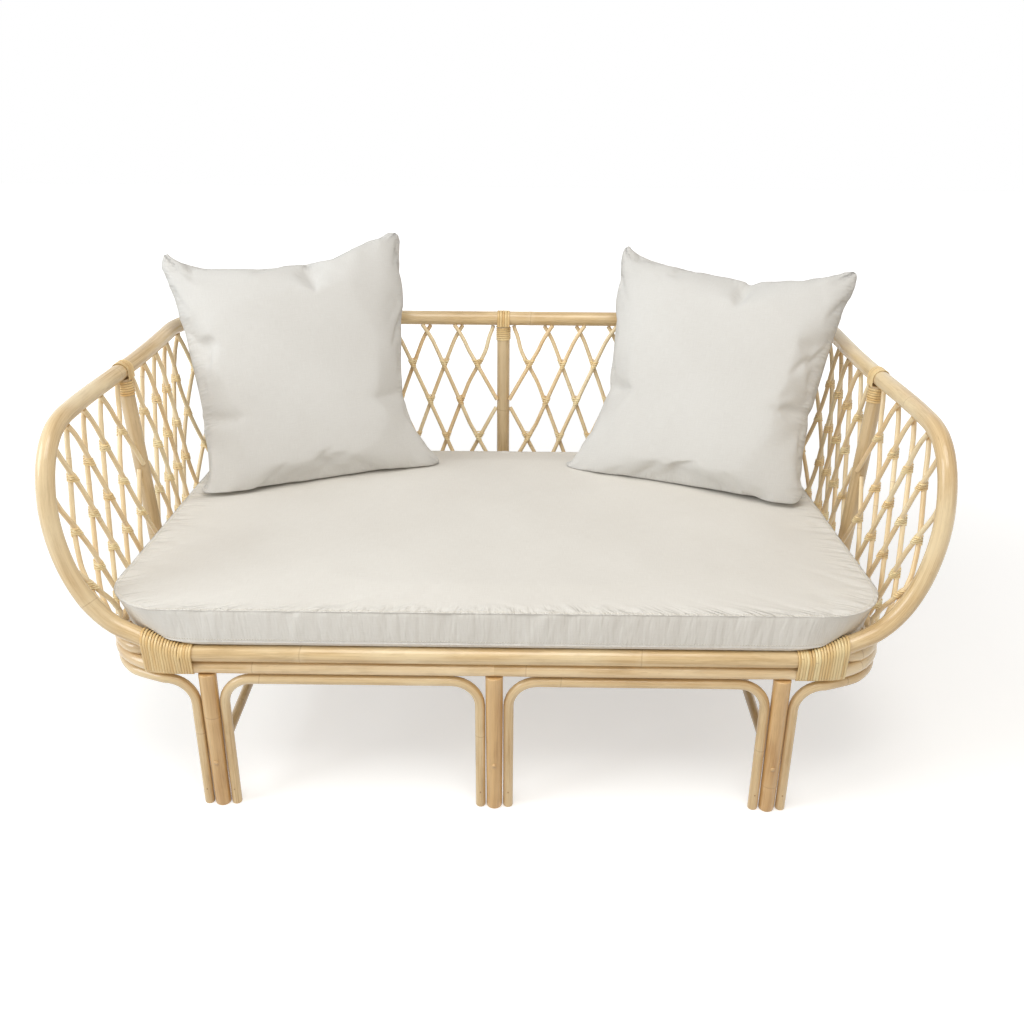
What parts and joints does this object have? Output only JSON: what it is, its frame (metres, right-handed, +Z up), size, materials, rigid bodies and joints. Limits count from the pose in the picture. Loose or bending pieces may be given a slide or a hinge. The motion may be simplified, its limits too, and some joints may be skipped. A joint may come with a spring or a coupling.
{
  "type": "rattan garden sofa",
  "caption": "Bent rattan sofa with a curved lattice back and arms, looped front rails, arched legs, a boxed seat cushion and loose pillows.",
  "frame": {"origin": "middle of the sofa's plan, on the floor that its legs stand on", "axes": "+X to the right as seen from the front, along the width; +Y to the back; +Z up"},
  "size_m": [1.5004, 0.8494, 0.8567],
  "materials": {
    "thick_pole": "satin clear-coated rattan pole, skin off",
    "ring_pole": "satin clear-coated rattan pole, skin off",
    "post": "satin clear-coated rattan pole, a little more orange",
    "thin_pole": "satin clear-coated thin rattan pole",
    "lattice_stick": "satin rattan core stick",
    "cane": "glossy flat cane, the rattan's skin",
    "seat_canvas": "off-white cotton canvas, matte",
    "pillow_canvas": "off-white cotton canvas, matte"
  },
  "bodies": {
    "frame": {"arm_and_back_rail": "thick_pole", "front_rail": "thick_pole", "seat_ring_upper_rear_right": "ring_pole", "seat_ring_upper_rear_left": "ring_pole", "seat_ring_upper_front_right": "ring_pole", "seat_ring_upper_front_left": "ring_pole", "seat_ring_lower_rear_right": "ring_pole", "seat_ring_lower_rear_left": "ring_pole", "seat_ring_lower_front_right": "ring_pole", "seat_ring_lower_front_left": "ring_pole", "front_left_leg": "post", "front_centre_leg": "post", "front_right_leg": "post", "rear_left_leg": "post", "rear_centre_leg": "post", "rear_right_leg": "post", "front_left_arch": "thin_pole", "front_right_arch": "thin_pole", "rear_left_arch": "thin_pole", "rear_right_arch": "thin_pole", "left_side_arch": "thin_pole", "right_side_arch": "thin_pole", "left_stretcher": "thin_pole", "centre_stretcher": "thin_pole", "right_stretcher": "thin_pole", "seat_slat_1": "thin_pole", "seat_slat_2": "thin_pole", "seat_slat_3": "thin_pole", "seat_slat_4": "thin_pole", "seat_slat_5": "thin_pole", "seat_slat_6": "thin_pole", "seat_slat_7": "thin_pole", "seat_slat_8": "thin_pole", "seat_slat_9": "thin_pole", "seat_bearer_1": "thin_pole", "seat_bearer_2": "thin_pole", "centre_back_upright": "post", "left_arm_upright": "post", "right_arm_upright": "post", "right_back_lattice": "lattice_stick", "left_back_lattice": "lattice_stick", "right_corner_lattice": "lattice_stick", "left_corner_lattice": "lattice_stick", "right_arm_rear_lattice": "lattice_stick", "left_arm_rear_lattice": "lattice_stick", "right_arm_front_lattice": "lattice_stick", "left_arm_front_lattice": "lattice_stick", "front_left_binding": "cane", "front_right_binding": "cane", "centre_back_neck_binding": "cane", "centre_back_saddle_strap": "cane", "left_arm_neck_binding": "cane", "left_arm_saddle_strap": "cane", "right_arm_neck_binding": "cane", "right_arm_saddle_strap": "cane"},
    "seat_cushion": {"seat_cushion": "seat_canvas"},
    "pillow_left": {"pillow_left": "pillow_canvas"},
    "pillow_right": {"pillow_right": "pillow_canvas"}
  },
  "joints": [
    {"name": "seat_cushion_lift", "type": "slide", "parent": "frame", "child": "seat_cushion", "axis": [0, 0, 1], "range_m": [0, 0.45]},
    {"name": "pillow_left_lift", "type": "slide", "parent": "seat_cushion", "child": "pillow_left", "axis": [0, 0, 1], "range_m": [0, 0.4]},
    {"name": "pillow_right_lift", "type": "slide", "parent": "seat_cushion", "child": "pillow_right", "axis": [0, 0, 1], "range_m": [0, 0.4]}
  ]
}
